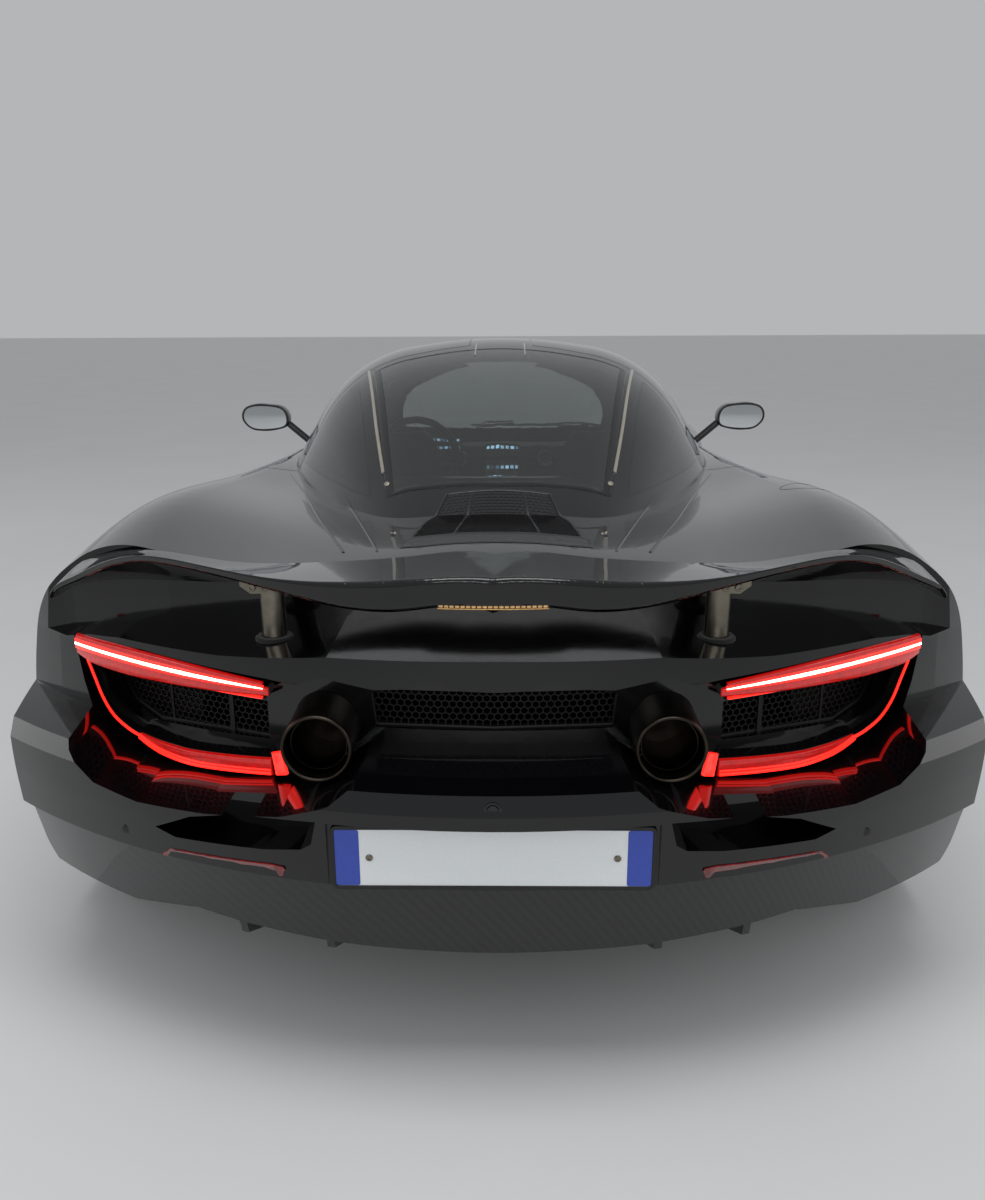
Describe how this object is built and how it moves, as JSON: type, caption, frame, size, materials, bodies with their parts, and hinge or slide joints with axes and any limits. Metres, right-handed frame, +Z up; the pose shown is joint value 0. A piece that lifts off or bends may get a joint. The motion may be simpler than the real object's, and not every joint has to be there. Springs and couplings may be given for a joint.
{
  "type": "mid-engined supercar",
  "caption": "Two-seat mid-engined supercar coupe with dihedral doors, glazed cabin, raised full-width rear wing on two struts, and blade tail lamps.",
  "frame": {"origin": "on the ground, in the middle of the car's length and width", "axes": "+Y forwards, +X to the car's right, +Z up"},
  "size_m": [2.153, 4.543, 1.196],
  "materials": {
    "paint": "gloss black paint",
    "carbon": "satin carbon fibre",
    "trim": "matt black plastic",
    "dark_glass": "tinted glass",
    "lamp": "red lamp lens",
    "headlamp": "clear lamp lens",
    "alloy": "dark alloy",
    "steel": "steel",
    "tyre": "tyre rubber",
    "leather": "black leather",
    "engine": "cast metal",
    "plate": "white plate"
  },
  "bodies": {
    "body": {"undertray": "carbon", "front_bumper": "paint", "front_wing_right": "paint", "front_wing_left": "paint", "sills": "carbon", "diffuser": "carbon", "rear_bumper": "paint", "tail_panel": "trim", "rear_deck": "paint", "rear_quarter_right": "paint", "rear_quarter_left": "paint", "roof_frame": "carbon", "windscreen": "dark_glass", "rear_screen": "dark_glass", "quarter_glass": "dark_glass", "front_suspension": "steel", "rear_suspension": "steel", "arch_liners": "trim", "door_hinges": "steel", "tub": "carbon", "seats": "leather", "dashboard": "trim", "steering_wheel": "leather", "engine": "engine", "gearbox": "alloy", "luggage_bin": "trim", "exhausts": "steel", "tail_lamps": "lamp", "headlamps": "headlamp", "grilles": "trim", "number_plate": "plate"},
    "bonnet": {"bonnet": "paint"},
    "door_right": {"door_right": "paint", "door_glass_right": "dark_glass", "mirror_right": "paint"},
    "door_left": {"door_left": "paint", "door_glass_left": "dark_glass", "mirror_left": "paint"},
    "rear_wing": {"wing": "paint", "wing_struts": "steel", "brake_lamp": "lamp"},
    "knuckle_front_right": {"knuckle_front_right": "steel"},
    "knuckle_front_left": {"knuckle_front_left": "steel"},
    "wheel_front_right": {"rim_front_right": "alloy", "tyre_front_right": "tyre"},
    "wheel_front_left": {"rim_front_left": "alloy", "tyre_front_left": "tyre"},
    "wheel_rear_right": {"rim_rear_right": "alloy", "tyre_rear_right": "tyre"},
    "wheel_rear_left": {"rim_rear_left": "alloy", "tyre_rear_left": "tyre"}
  },
  "joints": [
    {"name": "bonnet_lift", "type": "hinge", "parent": "body", "child": "bonnet", "pos_m": [0, 1.0805, 0.706], "axis": [1, 0, 0], "range_deg": [0, 50]},
    {"name": "door_right_swing", "type": "hinge", "parent": "body", "child": "door_right", "pos_m": [0.835, 0.86, 0.725], "axis": [-0.4596, -0.7333, 0.5009], "range_deg": [0, 60]},
    {"name": "door_left_swing", "type": "hinge", "parent": "body", "child": "door_left", "pos_m": [-0.835, 0.86, 0.725], "axis": [-0.4596, 0.7333, -0.5009], "range_deg": [0, 60]},
    {"name": "wing_raise", "type": "slide", "parent": "body", "child": "rear_wing", "axis": [0, 0, 1], "range_m": [-0.07, 0]},
    {"name": "steer_left", "type": "hinge", "parent": "body", "child": "knuckle_front_left", "pos_m": [-0.8, 1.2215, 0.327], "axis": [0, 0, 1], "range_deg": [-28, 28]},
    {"name": "steer_right", "type": "hinge", "parent": "body", "child": "knuckle_front_right", "pos_m": [0.8, 1.2215, 0.327], "axis": [0, 0, 1], "range_deg": [-28, 28]},
    {"name": "spin_front_left", "type": "hinge", "parent": "knuckle_front_left", "child": "wheel_front_left", "pos_m": [-0.828, 1.2215, 0.327], "axis": [1, 0, 0], "continuous": true},
    {"name": "spin_front_right", "type": "hinge", "parent": "knuckle_front_right", "child": "wheel_front_right", "pos_m": [0.828, 1.2215, 0.327], "axis": [1, 0, 0], "continuous": true},
    {"name": "spin_rear_left", "type": "hinge", "parent": "body", "child": "wheel_rear_left", "pos_m": [-0.805, -1.4485, 0.3455], "axis": [1, 0, 0], "continuous": true},
    {"name": "spin_rear_right", "type": "hinge", "parent": "body", "child": "wheel_rear_right", "pos_m": [0.805, -1.4485, 0.3455], "axis": [1, 0, 0], "continuous": true}
  ],
  "couplings": [
    {"joint": "steer_right", "follows": "steer_left", "ratio": 1}
  ]
}
